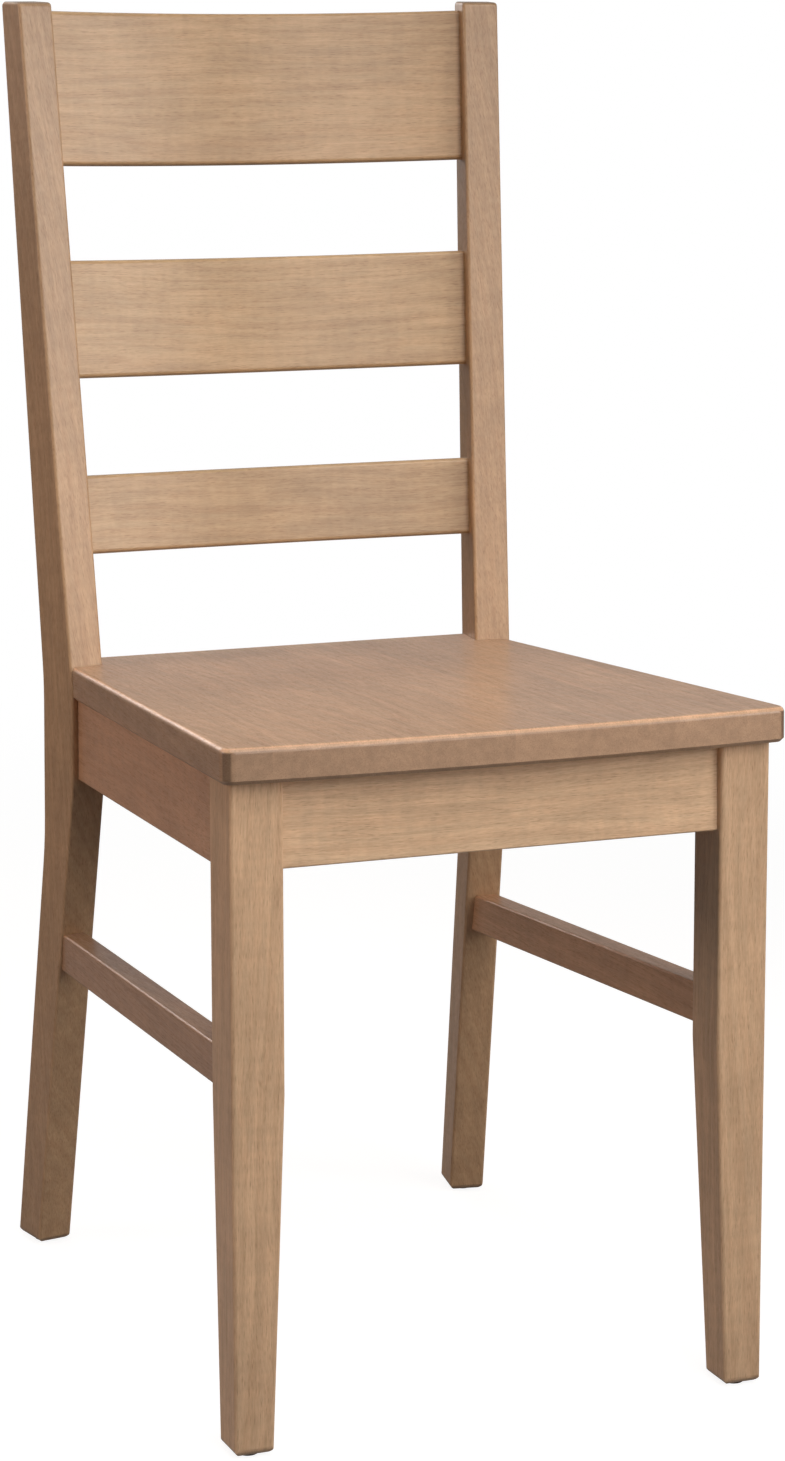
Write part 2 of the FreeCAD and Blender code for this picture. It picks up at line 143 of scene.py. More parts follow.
class BeechSettings(PropertyGroup):
    """The stained and lacquered beech of the chair."""
    light: FloatVectorProperty(
        name="Early wood", description="Colour of the pale wood between the ring lines",
        subtype="COLOR", size=3, min=0, max=1, default=(0.66, 0.455, 0.275))
    dark: FloatVectorProperty(
        name="Late wood", description="Colour of the darker ring lines and fibres",
        subtype="COLOR", size=3, min=0, max=1, default=(0.45, 0.262, 0.142))
    fleck: FloatVectorProperty(
        name="Flecks", description="Colour of the short rays that show as flecks",
        subtype="COLOR", size=3, min=0, max=1, default=(0.29, 0.145, 0.075))
    ring_spacing: FloatProperty(
        name="Ring spacing", description="From one year's ring to the next",
        unit="LENGTH", min=0.0005, default=2.6 * MM)
    fleck_length: FloatProperty(
        name="Fleck length", description="Length of a fleck along the grain",
        unit="LENGTH", min=0.0005, default=3.5 * MM)
    lacquer: FloatProperty(
        name="Lacquer", description="Strength of the clear satin coat",
        subtype="FACTOR", min=0, max=1, default=0.4)


class SlatSettings(PropertyGroup):
    """The bent back slats."""
    radius: FloatProperty(
        name="Bend radius", description="Radius of the hollow front face",
        unit="LENGTH", min=0.1, default=625 * MM)
    thickness: FloatProperty(
        name="Thickness", description="Thickness of the bent boards",
        unit="LENGTH", min=0.001, default=11 * MM)
    edge_round: FloatProperty(
        name="Edge rounding", description="Radius of the long edges",
        unit="LENGTH", min=0.0001, default=3.2 * MM)
    rake: FloatProperty(
        name="Rake", description="How far the slats lean back",
        subtype="ANGLE", default=math.radians(8.4))
    chamfer: FloatProperty(
        name="Solid chamfer", description="Chamfer on the long edges of the solid slats",
        unit="LENGTH", min=0, default=2.4 * MM)
    tenon_reach: FloatProperty(
        name="Tenon reach", description="From a solid slat's front corner to its tenon's end",
        unit="LENGTH", min=0, default=17.6 * MM)
    housing: FloatProperty(
        name="Housing", description="How far each end of a board runs into its post",
        unit="LENGTH", min=0, default=3.1 * MM)


class StageSettings(PropertyGroup):
    """Floor, lamps and camera."""
    floor: FloatVectorProperty(
        name="Floor", description="Colour of the floor as it lights the chair",
        subtype="COLOR", size=3, min=0, max=1, default=(0.30, 0.29, 0.28))
    high_power: FloatProperty(
        name="High lamp", description="Power of the lamp high in front of the chair",
        unit="POWER", min=0, default=2.7)
    low_power: FloatProperty(
        name="Low lamp", description="Power of the low lamp in front of the chair",
        unit="POWER", min=0, default=1.45)
    right_power: FloatProperty(
        name="Right lamp", description="Power of the low lamp at the front right",
        unit="POWER", min=0, default=2.35)
    seat_power: FloatProperty(
        name="Seat lamp", description="Power of the lamp over the front of the seat",
        unit="POWER", min=0, default=0.62)
    left_power: FloatProperty(
        name="Left lamp", description="Power of the warmer lamp at the left",
        unit="POWER", min=0, default=5.1)
    rim_power: FloatProperty(
        name="Rim lamp", description="Power of the long narrow lamp high behind the chair",
        unit="POWER", min=0, default=3.5)
    back_power: FloatProperty(
        name="Back lamp", description="Power of the lamp that fills the back of the chair",
        unit="POWER", min=0, default=2.6)
    room_light: FloatProperty(
        name="Room light", description="Strength of the even light from all round",
        min=0, default=0.04)
    mirrored_light: FloatProperty(
        name="Mirrored light", description="Strength of the backdrop where the lacquer mirrors it",
        min=0, default=0.36)
    azimuth: FloatProperty(
        name="Camera azimuth", description="Turn of the camera round the chair from its front",
        subtype="ANGLE", default=math.radians(-22.86))
    elevation: FloatProperty(
        name="Camera elevation", description="Angle by which the camera looks down",
        subtype="ANGLE", default=math.radians(11.93))
    roll: FloatProperty(
        name="Camera roll", description="Tilt of the picture",
        subtype="ANGLE", default=math.radians(0.67))
    distance: FloatProperty(
        name="Camera distance", description="From the camera to the point it looks at",
        unit="LENGTH", min=0.1, default=3.0659)
    lens: FloatProperty(
        name="Lens", description="Focal length in millimetres on a sensor 36 mm long",
        min=1, default=97.73)
    target: FloatVectorProperty(
        name="Camera target", description="The point that the camera looks at",
        subtype="XYZ", unit="LENGTH", size=3, default=(0.1080, 0.2114, 0.3779))


# Materials

class Sheet:
    """A node tree that is filled in from left to right."""

    def __init__(self, tree):
        self.tree = tree

    def node(self, kind, *inputs, **settings):
        """Adds a node, gives its inputs in order (None leaves one alone), and returns it."""
        made = self.tree.nodes.new(kind)
        for name, value in settings.items():
            setattr(made, name, value)
        for socket, value in zip([s for s in made.inputs if s.enabled], inputs):
            self.feed(socket, value)
        return made

    def feed(self, socket, value):
        """Links a socket to another node's output, or sets its value."""
        if isinstance(value, bpy.types.NodeSocket):
            self.tree.links.new(value, socket)
        elif value is not None:
            socket.default_value = value

    def calc(self, operation, *values):
        """The result of a calculation on plain values."""
        return self.node("ShaderNodeMath", *values, operation=operation).outputs[0]

    def vector(self, operation, *values):
        """The result of a calculation on vectors."""
        return self.node("ShaderNodeVectorMath", *values, operation=operation).outputs[0]

    def length(self, value):
        """How long a vector is."""
        return self.node("ShaderNodeVectorMath", value, operation="LENGTH").outputs["Value"]

    def noise(self, place, across, along, detail=2.0, roughness=0.5):
        """The outputs of a noise with grains of a size across and along the wood."""
        made = self.node("ShaderNodeTexNoise", noise_dimensions="3D")
        self.feed(made.inputs["Vector"], self.vector(
            "MULTIPLY", place, (1 / across, 1 / across, 1 / along)))
        made.inputs["Scale"].default_value = 1.0
        made.inputs["Detail"].default_value = detail
        made.inputs["Roughness"].default_value = roughness
        return made.outputs

    def grain(self, *settings):
        """The same noise as a plain value."""
        return self.noise(*settings)["Fac"]

    def ramp(self, value, low, high, start=0.0, end=1.0):
        """A value carried smoothly from one range to another."""
        made = self.node("ShaderNodeMapRange", interpolation_type="SMOOTHSTEP")
        for name, given in (("Value", value), ("From Min", low), ("From Max", high),
                            ("To Min", start), ("To Max", end)):
            self.feed(made.inputs[name], given)
        return made.outputs["Result"]

    def mix(self, share, one, other):
        """A share of the way from one colour to another."""
        made = self.node("ShaderNodeMix", data_type="RGBA")
        self.feed(made.inputs["Factor"], share)
        self.feed(made.inputs[6], one)
        self.feed(made.inputs[7], other)
        return made.outputs[2]


def new_finish(name):
    """A new material, its sheet and its shader."""
    material = bpy.data.materials.new(name)
    material.use_nodes = True
    return material, Sheet(material.node_tree), material.node_tree.nodes["Principled BSDF"]


def shaded(colour, shares=(1, 1, 1)):
    """A colour with each of its parts at a share, and full alpha."""
    return [min(part * share, 1) for part, share in zip(colour, shares)] + [1]


def roughen(sheet, shader, height, strength, depth):
    """Lets a height show as relief."""
    bump = sheet.node("ShaderNodeBump")
    bump.inputs["Strength"].default_value = strength
    bump.inputs["Distance"].default_value = depth
    sheet.feed(bump.inputs["Height"], height)
    sheet.feed(shader.inputs["Normal"], bump.outputs["Normal"])


def beech_figure():
    """The figure of beech whose grain runs upright: ring lines, fibres, flecks and shimmer."""
    made = bpy.data.node_groups.get("beech_figure")
    if made:
        return made
    tree = bpy.data.node_groups.new("beech_figure", "ShaderNodeTree")
    face = tree.interface
    # One input carries the painted light and shade of the piece's rounded edges and sides
    for name, kind in (("Place", "NodeSocketVector"), ("Heart", "NodeSocketVector"),
                       ("End grain", "NodeSocketFloat"), ("Wear", "NodeSocketFloat"),
                       ("Light", "NodeSocketColor"), ("Dark", "NodeSocketColor"),
                       ("Fleck", "NodeSocketColor"),
                       ("Ring spacing", "NodeSocketFloat"), ("Fleck length", "NodeSocketFloat")):
        face.new_socket(name=name, in_out="INPUT", socket_type=kind)
    for name, kind in (("Colour", "NodeSocketColor"), ("Roughness", "NodeSocketFloat"),
                       ("Height", "NodeSocketFloat")):
        face.new_socket(name=name, in_out="OUTPUT", socket_type=kind)
    sheet = Sheet(tree)
    given = sheet.node("NodeGroupInput").outputs
    place = given["Place"]

    # The trunk's wander bends the rings a little along their length
    wander = sheet.noise(place, 100 * MM, 260 * MM, 2.5)["Color"]
    shift = sheet.vector("SUBTRACT", wander, (0.5, 0.5, 0.5))
    shift = sheet.vector("MULTIPLY", shift, (16 * MM, 16 * MM, 0.0))
    bent = sheet.vector("ADD", place, shift)

    # Rings round the heart, each of its own depth of colour and with a thin line at its end
    radius = sheet.vector("SUBTRACT", bent, given["Heart"])
    radius = sheet.vector("MULTIPLY", radius, (1, 1, 0))
    count = sheet.calc("DIVIDE", sheet.length(radius), given["Ring spacing"])
    years = sheet.node("ShaderNodeTexNoise", noise_dimensions="1D")
    sheet.feed(years.inputs["W"], count)
    years.inputs["Scale"].default_value = 0.9
    years.inputs["Detail"].default_value = 3.0
    ring = sheet.ramp(years.outputs["Fac"], 0.30, 0.72)
    line = sheet.calc("POWER", sheet.calc("FRACT", count), 7.0)
    line = sheet.calc("MULTIPLY", line, sheet.ramp(years.outputs["Fac"], *MOST, 0.3, 1.0))

    # Grains of several sizes, across the wood and along it
    fibre = sheet.grain(bent, 0.9 * MM, 45 * MM, 3.0, 0.6)
    fine = sheet.grain(bent, 0.8 * MM, 6 * MM, 3.0, 0.6)
    shimmer = sheet.grain(bent, 30 * MM, 8 * MM)
    cloud = sheet.grain(bent, 7 * MM, 60 * MM, 3.0, 0.55)
    blotch = sheet.grain(place, 70 * MM, 150 * MM)

    # Flecks are short, thin and pointed, and stand closer in some places
    fleck_across = 0.95 * MM
    cell = sheet.node("ShaderNodeTexVoronoi", voronoi_dimensions="3D", feature="F1")
    along = sheet.calc("DIVIDE", 0.45, given["Fleck length"])
    stretch = sheet.node("ShaderNodeCombineXYZ", 1 / fleck_across, 1 / fleck_across, along)
    sheet.feed(cell.inputs["Vector"], sheet.vector("MULTIPLY", bent, stretch.outputs[0]))
    cell.inputs["Scale"].default_value = 1.0
    fleck = sheet.ramp(cell.outputs["Distance"], 0.12, 0.42, 1.0, 0.0)
    fleck = sheet.calc("MULTIPLY", fleck, sheet.ramp(fibre, 0.38, 0.62))

    # Where a face cuts across the grain, the rings fade and the wood is darker
    cut = (0.35, 0.9)
    sawn = sheet.ramp(given["End grain"], *cut, 1.0, 0.15)
    ring = sheet.calc("MULTIPLY", ring, sawn)
    line = sheet.calc("MULTIPLY", line, sawn)

    # Each part of the figure takes the colour a share of the way to the late wood's
    depth = 0.06
    for part, share in ((ring, 0.22), (line, 0.07), (sheet.ramp(fibre, *MOST), 0.22),
                        (sheet.ramp(fine, *MOST), 0.26)):
        depth = sheet.calc("MULTIPLY_ADD", part, share, depth)
    colour = sheet.mix(depth, given["Light"], given["Dark"])
    colour = sheet.mix(sheet.calc("MULTIPLY", fleck, 0.44), colour, given["Fleck"])
    # Painted light and shade of the rounded edges and sides, then shimmer, blotches, clouds and
    # darker end grain
    tone = given["Wear"]
    for part, span, least, most in (
            (shimmer, NEARLY_ALL, 0.965, 1.035), (blotch, NEARLY_ALL, 0.94, 1.06),
            (cloud, NEARLY_ALL, 0.93, 1.07), (given["End grain"], cut, 1.0, 0.68)):
        tone = sheet.calc("MULTIPLY", tone, sheet.ramp(part, *span, least, most))
    colour = sheet.vector("SCALE", colour, None, None)
    sheet.feed(colour.node.inputs["Scale"], tone)

    rough = 0.37
    for part, share in ((sheet.ramp(fibre, *NEARLY_ALL), 0.12), (fleck, 0.12)):
        rough = sheet.calc("MULTIPLY_ADD", part, share, rough)
    height = fibre
    for part, share in ((fleck, -0.6), (line, -0.3), (fine, 0.4)):
        height = sheet.calc("MULTIPLY_ADD", part, share, height)
    result = sheet.node("NodeGroupOutput")
    sheet.feed(result.inputs["Colour"], colour)
    sheet.feed(result.inputs["Roughness"], rough)
    sheet.feed(result.inputs["Height"], height)
    return tree


def side_of(node):
    """1 for a piece on the right and -1 for one on the left."""
    return 1 if node.endswith("right") else -1


def beech(node, turn, heart, slant=(0.0, 0.0), shade=1.0, arris_light_and_shade=ARRIS_LIGHT_AND_SHADE, side_shade=1.0,
          follows=None):
    """Lacquered beech for one piece, from its own part of the trunk.

    The turn stands its grain upright, and the slant tips the heart of the tree, which lies
    beside the piece. The tone is the piece's own at a shade, and it holds painted light and shade
    as well. Rounded edges below, at the sides and above get painted light and shade at the
    arris shares of it, and faces that look to the left and right get painted shade at the side
    share. The grain lies in the object's own coordinates, or in the attribute that a bent piece
    keeps of its straight board.
    """
    wood = bpy.context.scene.chair_beech
    number = 1 + WOODEN.index(node)
    # The piece's tone, partly its wood's own and partly painted light and shade
    tone = [share * shade for start, shares in TONES_AND_PAINTED_LIGHT.items() if node.startswith(start)
            for share in shares]
    material, sheet, shader = new_finish("beech_" + node)
    if follows:
        place = sheet.node("ShaderNodeAttribute", attribute_name=follows).outputs["Vector"]
    else:
        place = sheet.node("ShaderNodeTexCoord").outputs["Object"]
    upright = sheet.node("ShaderNodeMapping", vector_type="POINT")
    sheet.feed(upright.inputs["Vector"], place)
    upright.inputs["Rotation"].default_value = turn
    lean = sheet.node("ShaderNodeMapping", vector_type="POINT")
    sheet.feed(lean.inputs["Vector"], upright.outputs["Vector"])
    lean.inputs["Rotation"].default_value = (slant[0], slant[1], 0)
    lean.inputs["Location"].default_value = [step * number for step in TRUNK_STEP]

    # How squarely a face cuts across the grain
    normal = sheet.node("ShaderNodeTexCoord").outputs["Normal"]
    cut = sheet.node("ShaderNodeVectorMath", normal, GRAIN_AXES[turn], operation="DOT_PRODUCT")
    end = sheet.calc("ABSOLUTE", cut.outputs["Value"])

    # Rounded edges are where a face looks along none of the three main directions, and they get
    # painted light and shade by whether they look down, sideways or up
    parts = sheet.node("ShaderNodeSeparateXYZ", normal).outputs
    largest = sheet.calc("MAXIMUM", sheet.calc("ABSOLUTE", parts["X"]),
                        sheet.calc("ABSOLUTE", parts["Y"]))
    largest = sheet.calc("MAXIMUM", largest, sheet.calc("ABSOLUTE", parts["Z"]))
    edge = sheet.ramp(largest, 0.95, 0.86)
    below, beside, above = arris_light_and_shade
    share = sheet.ramp(parts["Z"], -0.45, -0.15, below, beside)
    share = sheet.calc("ADD", share, sheet.ramp(parts["Z"], 0.15, 0.45, 0.0, above - beside))
    painted_light = sheet.calc("MULTIPLY_ADD", edge, sheet.calc("SUBTRACT", share, 1.0), 1.0)
    # Painted shade on faces that look to the left and right
    painted_light = sheet.calc("MULTIPLY", painted_light, sheet.ramp(
        sheet.calc("ABSOLUTE", parts["X"]), 0.6, 0.95, 1.0, side_shade))

    figure = sheet.node("ShaderNodeGroup", node_tree=beech_figure())
    across, back = TRUNK_STEP[:2]
    centre = (across * number + heart[0], back * number + heart[1], 0.0)
    for socket, value in (("Place", lean.outputs["Vector"]), ("Heart", centre),
                          ("End grain", end), ("Wear", painted_light),
                          ("Light", shaded(wood.light, tone)),
                          ("Dark", shaded(wood.dark, tone)),
                          ("Fleck", shaded(wood.fleck, tone)),
                          ("Ring spacing", wood.ring_spacing),
                          ("Fleck length", wood.fleck_length)):
        sheet.feed(figure.inputs[socket], value)
    sheet.feed(shader.inputs["Base Color"], figure.outputs["Colour"])
    sheet.feed(shader.inputs["Roughness"], figure.outputs["Roughness"])
    roughen(sheet, shader, figure.outputs["Height"], 0.35, 0.15 * MM)
    shader.inputs["Specular IOR Level"].default_value = 0.4
    shader.inputs["Coat Weight"].default_value = wood.lacquer
    shader.inputs["Coat Roughness"].default_value = 0.22
    return material


def worn_metal(name, colour, roughness):
    """Plated steel with fine turning marks and a faint bloom."""
    material, sheet, shader = new_finish(name)
    place = sheet.node("ShaderNodeTexCoord").outputs["Object"]
    bloom = sheet.grain(place, 3 * MM, 3 * MM, 3.0)
    marks = sheet.grain(place, 4 * MM, 0.25 * MM)
    sheet.feed(shader.inputs["Base Color"], sheet.mix(
        bloom, shaded(colour, (0.82, 0.82, 0.82)), shaded(colour, (1.1, 1.1, 1.1))))
    sheet.feed(shader.inputs["Roughness"],
               sheet.calc("MULTIPLY_ADD", bloom, 0.2, roughness - 0.1))
    roughen(sheet, shader, marks, 0.2, 0.05 * MM)
    shader.inputs["Metallic"].default_value = 1.0
    return material


def moulded_plastic(name, colour):
    """Matt moulded plastic with a fine pebbled face and scuffs."""
    material, sheet, shader = new_finish(name)
    place = sheet.node("ShaderNodeTexCoord").outputs["Object"]
    pebble = sheet.grain(place, 0.4 * MM, 0.4 * MM)
    scuff = sheet.ramp(sheet.grain(place, 5 * MM, 5 * MM, 4.0), 0.5, 0.75)
    sheet.feed(shader.inputs["Base Color"], sheet.mix(
        scuff, shaded(colour), shaded(colour, (1.9, 1.9, 1.9))))
    sheet.feed(shader.inputs["Roughness"], sheet.calc("MULTIPLY_ADD", scuff, 0.15, 0.55))
    roughen(sheet, shader, pebble, 0.3, 0.05 * MM)
    return material


def finish_node(node, material):
    """Gives a piece of the solid model its finish."""
    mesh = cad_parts[node].data
    mesh.materials.clear()
    mesh.materials.append(material)


# Wooden pieces

class CHAIR_OT_posts(Operator):
    """Finish the two bent rear posts"""
    bl_idname = "chair.posts"
    bl_label = "Rear posts"

    def execute(self, context):
        for node in POSTS:
            finish_node(node, beech(node, UPRIGHT, (0.17 * side_of(node), 0.22),
                                    slant=(math.radians(2), math.radians(9))))
        return {"FINISHED"}


class CHAIR_OT_legs(Operator):
    """Finish the two tapered front legs"""
    bl_idname = "chair.legs"
    bl_label = "Front legs"

    def execute(self, context):
        for node in LEGS:
            finish_node(node, beech(node, UPRIGHT, (0.22 * side_of(node), -0.16)))
        return {"FINISHED"}


class CHAIR_OT_rails(Operator):
    """Finish the four seat rails"""
    bl_idname = "chair.rails"
    bl_label = "Seat rails"

    def execute(self, context):
        for node in RAILS:
            turn = FORE_AND_AFT if node.startswith("side") else ACROSS
            finish_node(node, beech(node, turn, (-0.38, -0.2)))
        return {"FINISHED"}


class CHAIR_OT_stretchers(Operator):
    """Finish the side stretchers"""
    bl_idname = "chair.stretchers"
    bl_label = "Side stretchers"

    def execute(self, context):
        for node in STRETCHERS:
            finish_node(node, beech(node, FORE_AND_AFT, (0.2 * side_of(node), -0.3)))
        return {"FINISHED"}


class CHAIR_OT_seat(Operator):
    """Finish the staves of the seat, each cut from another board"""
    bl_idname = "chair.seat"
    bl_label = "Seat"

    def execute(self, context):
        for number, node in enumerate(STAVES):
            low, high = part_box(node)
            middle = (low.x + high.x) / 2

            # The hearts lie to the right and to the left of the boards by turns
            heart = (middle + 0.03 * (-1) ** number, -0.44)
            finish_node(node, beech(node, FORE_AND_AFT, heart, shade=STAVE_SHADES[number],
                                    arris_light_and_shade=SEAT_ARRIS_LIGHT_AND_SHADE, side_shade=SEAT_PAINTED_SIDE_SHADE))
        return {"FINISHED"}


class CHAIR_OT_blocks(Operator):
    """Finish the corner blocks under the seat"""
    bl_idname = "chair.blocks"
    bl_label = "Corner blocks"

    def execute(self, context):
        for node in BLOCKS:
            finish_node(node, beech(node, ACROSS, (-0.4, 0.2)))
        return {"FINISHED"}


class CHAIR_OT_hardware(Operator):
    """Finish the screws and the glides under the feet"""
    bl_idname = "chair.hardware"
    bl_label = "Screws and glides"

    def execute(self, context):
        finish_node("seat_screws", worn_metal("zinc_plate", ZINC, 0.38))
        for node in GLIDES:
            finish_node(node, moulded_plastic(node + "_plastic", DARK_PLASTIC))
        return {"FINISHED"}


# Back slats

def slat_tree():
    """A straight board with round edges that is bent to a radius, leaned back and set in place."""
    tree = bpy.data.node_groups.new("bent_slat", "GeometryNodeTree")
    face = tree.interface
    face.new_socket(name="Board", in_out="INPUT", socket_type="NodeSocketGeometry")
    for name in ("Length", "Height", "Thickness", "Radius", "Edge round", "Rake"):
        face.new_socket(name=name, in_out="INPUT", socket_type="NodeSocketFloat")
    face.new_socket(name="Place", in_out="INPUT", socket_type="NodeSocketVector")
    face.new_socket(name="Finish", in_out="INPUT", socket_type="NodeSocketMaterial")
    face.new_socket(name="Slat", in_out="OUTPUT", socket_type="NodeSocketGeometry")
    sheet = Sheet(tree)
    given = sheet.node("NodeGroupInput").outputs

    # Straight board: its length along X, its front face at Y = 0, its middle at Z = 0
    half = sheet.calc("MULTIPLY", given["Length"], 0.5)
    start = sheet.node("ShaderNodeCombineXYZ", sheet.calc("MULTIPLY", half, -1.0)).outputs[0]
    end = sheet.node("ShaderNodeCombineXYZ", half).outputs[0]
    line = sheet.node("GeometryNodeCurvePrimitiveLine")
    sheet.feed(line.inputs["Start"], start)
    sheet.feed(line.inputs["End"], end)
    spine = sheet.node("GeometryNodeResampleCurve")
    sheet.feed(spine.inputs["Curve"], line.outputs["Curve"])
    spine.inputs["Count"].default_value = BEND_POINTS
    outline = sheet.node("GeometryNodeCurvePrimitiveQuadrilateral", mode="RECTANGLE")
    sheet.feed(outline.inputs["Width"], given["Thickness"])
    sheet.feed(outline.inputs["Height"], given["Height"])
    eased = sheet.node("GeometryNodeFilletCurve", mode="POLY")
    sheet.feed(eased.inputs["Curve"], outline.outputs["Curve"])
    sheet.feed(eased.inputs["Radius"], given["Edge round"])
    eased.inputs["Count"].default_value = EDGE_POINTS
    sweep = sheet.node("GeometryNodeCurveToMesh")
    sheet.feed(sweep.inputs["Curve"], spine.outputs["Curve"])
    sheet.feed(sweep.inputs["Profile Curve"], eased.outputs["Curve"])
    sweep.inputs["Fill Caps"].default_value = True
    place = sheet.node("GeometryNodeInputPosition").outputs["Position"]
    deep = sheet.node("ShaderNodeCombineXYZ", 0.0, sheet.calc(
        "MULTIPLY", given["Thickness"], 0.5), 0.0).outputs[0]
    board = sheet.node("GeometryNodeSetPosition")
    sheet.feed(board.inputs["Geometry"], sweep.outputs["Mesh"])
    sheet.feed(board.inputs["Offset"], deep)

    # The grain keeps the straight board's coordinates
    kept = sheet.node("GeometryNodeStoreNamedAttribute", data_type="FLOAT_VECTOR",
                      domain="POINT")
    sheet.feed(kept.inputs["Geometry"], board.outputs["Geometry"])
    kept.inputs["Name"].default_value = "straight_board"
    sheet.feed(kept.inputs["Value"], place)

    # Bent round a centre in front of the slat, its middle staying where it was
    parts = sheet.node("ShaderNodeSeparateXYZ", place).outputs
    turn = sheet.calc("DIVIDE", parts["X"], given["Radius"])
    reach = sheet.calc("ADD", given["Radius"], parts["Y"])
    across = sheet.calc("MULTIPLY", reach, sheet.calc("SINE", turn))
    back = sheet.calc("MULTIPLY", reach, sheet.calc("COSINE", turn))
    back = sheet.calc("SUBTRACT", back, given["Radius"])
    bent = sheet.node("GeometryNodeSetPosition")
    sheet.feed(bent.inputs["Geometry"], kept.outputs["Geometry"])
    sheet.feed(bent.inputs["Position"],
               sheet.node("ShaderNodeCombineXYZ", across, back, parts["Z"]).outputs[0])
    leant = sheet.node("GeometryNodeTransform")
    sheet.feed(leant.inputs["Geometry"], bent.outputs["Geometry"])
    sheet.feed(leant.inputs["Translation"], given["Place"])
    sheet.feed(leant.inputs["Rotation"], sheet.node(
        "ShaderNodeCombineXYZ", sheet.calc("MULTIPLY", given["Rake"], -1.0)).outputs[0])
    smooth = sheet.node("GeometryNodeSetShadeSmooth")
    sheet.feed(smooth.inputs["Geometry"], leant.outputs["Geometry"])
    real = sheet.node("GeometryNodeRealizeInstances")
    sheet.feed(real.inputs["Geometry"], smooth.outputs["Geometry"])
    finish = sheet.node("GeometryNodeSetMaterial")
    sheet.feed(finish.inputs["Geometry"], real.outputs["Geometry"])
    sheet.feed(finish.inputs["Material"], given["Finish"])
    sheet.feed(sheet.node("NodeGroupOutput").inputs["Slat"], finish.outputs["Geometry"])
    return tree


def grown(name, tree, inputs):
    """The plain mesh that a tree makes from its named inputs."""
    seed = bpy.data.objects.new(name, bpy.data.meshes.new(name))
    bpy.context.collection.objects.link(seed)
    modifier = seed.modifiers.new(name, "NODES")
    modifier.node_group = tree
    for item in tree.interface.items_tree:
        if item.item_type == "SOCKET" and item.in_out == "INPUT" and item.name in inputs:
            modifier[item.identifier] = inputs[item.name]
    seed.update_tag()
    bpy.context.view_layer.update()
    grown_mesh = bpy.data.meshes.new_from_object(
        seed.evaluated_get(bpy.context.evaluated_depsgraph_get()))
    seed.modifiers.remove(modifier)
    if not grown_mesh.polygons:
        raise RuntimeError("the tree for %s made no faces" % name)
    seed.data = grown_mesh
    return seed


def slat_inputs(slats, low, high):
    """Size and place of a slat's board, worked out from the box of its solid."""
    lean, upright = math.sin(slats.rake), math.cos(slats.rake)
    chord = high.x - slats.tenon_reach
    sag = slats.radius - math.sqrt(slats.radius ** 2 - chord ** 2)
    rise = (sag + slats.thickness - 2 * slats.chamfer) * lean
    height = (high.z - low.z - rise) / upright
    back = high.y - slats.thickness * upright - (height / 2 - slats.chamfer) * lean
    level = low.z + (slats.thickness - slats.chamfer) * lean + height / 2 * upright
    return {"Length": 2 * slats.radius * math.asin((chord + slats.housing) / slats.radius),
            "Height": height, "Thickness": slats.thickness, "Radius": slats.radius,
            "Edge round": slats.edge_round, "Rake": slats.rake, "Place": (0.0, back, level)}


class CHAIR_OT_slats(Operator):
    """Bend the three back slats"""
    bl_idname = "chair.slats"
    bl_label = "Back slats"

    def execute(self, context):
        slats = context.scene.chair_slats
        tree = slat_tree()
        for node in SLATS:
            low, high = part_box(node)
            inputs = slat_inputs(slats, low, high)
            inputs["Finish"] = beech(node, ACROSS, (0.06, 0.11), follows="straight_board")
            piece = grown(node + "_bent", tree, inputs)
            weight = piece.modifiers.new("even_shading", "WEIGHTED_NORMAL")
            weight.keep_sharp = True
            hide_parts(node)
            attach(piece, "root")
        return {"FINISHED"}


# Studio

def floor_material(stage):
    """A pale floor that takes the chair's shadow and fades into the white backdrop.

    It glows for the camera, so that only the shadow shows on it, and a little where the
    lacquer mirrors it.
    """
    mirrored, glow = 0.35 * stage.mirrored_light, 0.90
    fade = (0.7, 2.2)
    material, sheet, shader = new_finish("pale_floor")
    sheet.tree.nodes.remove(shader)
    out = sheet.tree.nodes["Material Output"]
    place = sheet.node("ShaderNodeTexCoord").outputs["Object"]
    near = sheet.ramp(sheet.length(place), *fade, 1.0, 0.0)
    grain = sheet.ramp(sheet.grain(place, 12 * MM, 12 * MM, 3.0), *NEARLY_ALL, 0.985, 1.0)
    matt = sheet.node("ShaderNodeBsdfDiffuse")
    sheet.feed(matt.inputs["Color"], sheet.mix(grain, (0, 0, 0, 1), shaded(stage.floor)))
    ray = sheet.node("ShaderNodeLightPath").outputs
    seen = sheet.calc("MAXIMUM", ray["Is Glossy Ray"], ray["Is Transmission Ray"])
    seen = sheet.calc("MULTIPLY", seen, mirrored)
    seen = sheet.calc("MAXIMUM", seen, ray["Is Camera Ray"])
    lift = sheet.node("ShaderNodeEmission")
    sheet.feed(lift.inputs["Strength"], sheet.calc("MULTIPLY", seen, glow))
    lit = sheet.node("ShaderNodeAddShader")
    sheet.feed(lit.inputs[0], matt.outputs[0])
    sheet.feed(lit.inputs[1], lift.outputs[0])
    white = sheet.node("ShaderNodeEmission")
    sheet.feed(white.inputs["Strength"], sheet.ramp(seen, 0.0, 1.0, stage.room_light, 1.0))
    both = sheet.node("ShaderNodeMixShader")
    sheet.feed(both.inputs[0], near)
    sheet.feed(both.inputs[1], white.outputs[0])
    sheet.feed(both.inputs[2], lit.outputs[0])
    sheet.feed(out.inputs["Surface"], both.outputs[0])
    return material


